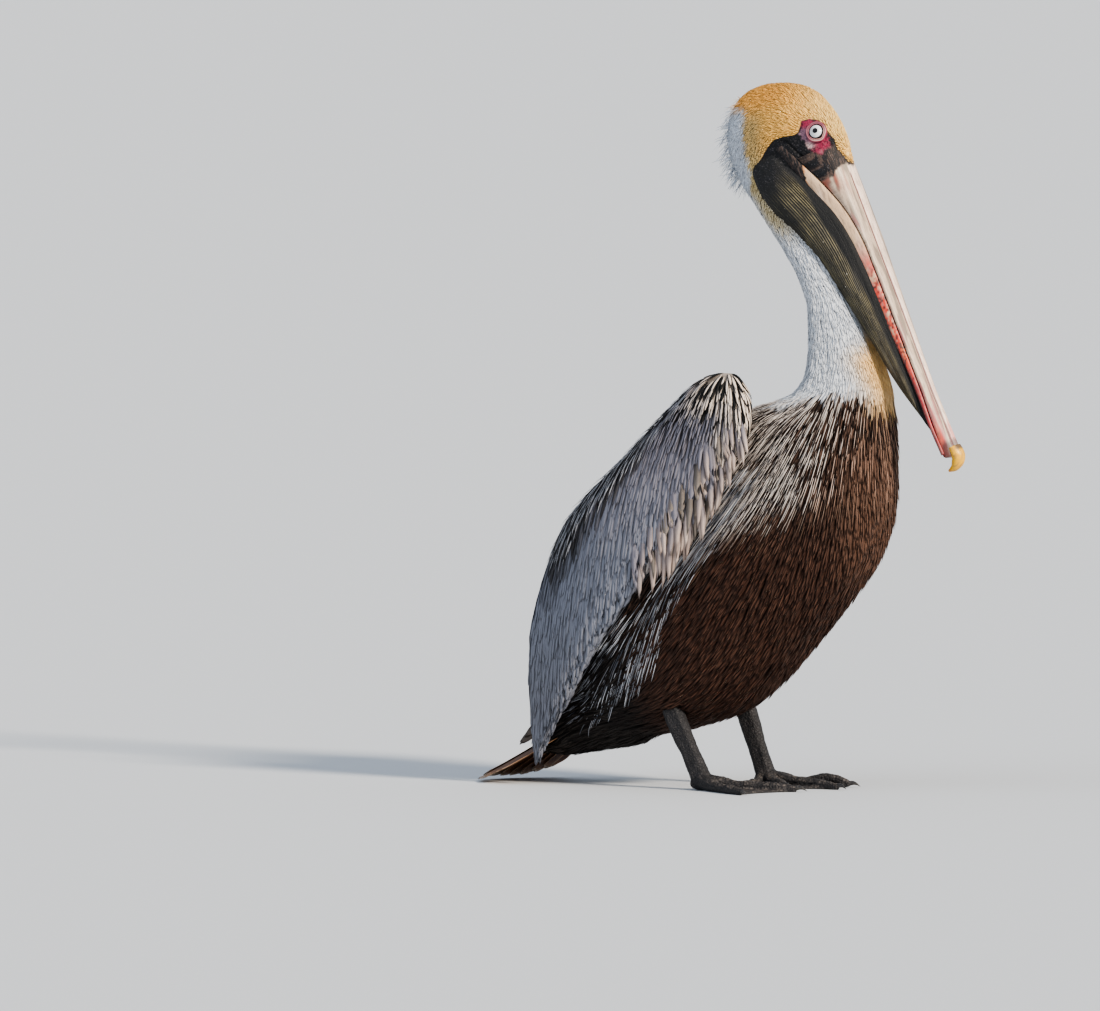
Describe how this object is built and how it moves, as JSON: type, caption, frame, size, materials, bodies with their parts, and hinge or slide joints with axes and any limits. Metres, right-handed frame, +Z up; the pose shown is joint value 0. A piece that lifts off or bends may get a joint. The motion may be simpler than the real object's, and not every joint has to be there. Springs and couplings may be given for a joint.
{
  "type": "brown pelican still model",
  "caption": "Life-size standing brown pelican, a still model with its long bill laid down against the front of its neck.",
  "frame": {"origin": "on the floor, midway along the bird's overall length and width", "axes": "+Z up, +X the way the bird faces, +Y to its left"},
  "size_m": [0.5427, 0.2304, 0.707],
  "materials": {
    "crown_feathers": "soft pale golden head feathers",
    "neck_feathers": "soft white neck feathers",
    "body_feathers": "dark brown feathers with fine paler streaks",
    "wing_feathers": "silver grey feathers with dark edges",
    "quill_feathers": "stiff dark flight and tail feathers",
    "bill_horn": "smooth pale horn, flushed red towards the tip",
    "bill_nail": "smooth yellow horn",
    "pouch_skin": "dark olive bare skin with fine long wrinkles",
    "foot_skin": "slate black scaly skin",
    "claw": "smooth dark horn",
    "eye": "wet and glossy, pale iris and black pupil"
  },
  "bodies": {
    "root": {"head": "crown_feathers", "crest": "neck_feathers", "neck_upper": "neck_feathers", "neck_lower": "neck_feathers", "trunk": "body_feathers", "bill_upper": "bill_horn", "bill_nail": "bill_nail", "bill_lower": "bill_horn", "pouch": "pouch_skin", "eye_right": "eye", "eye_left": "eye", "wing_right": "wing_feathers", "wing_left": "wing_feathers", "quills_right": "quill_feathers", "quills_left": "quill_feathers", "tail": "quill_feathers", "shin_right": "body_feathers", "shin_left": "body_feathers", "tarsus_right": "foot_skin", "tarsus_left": "foot_skin", "foot_right": "foot_skin", "foot_left": "foot_skin", "claw_right_hind": "claw", "claw_right_inner": "claw", "claw_right_middle": "claw", "claw_right_outer": "claw", "claw_left_hind": "claw", "claw_left_inner": "claw", "claw_left_middle": "claw", "claw_left_outer": "claw"}
  },
  "joints": []
}
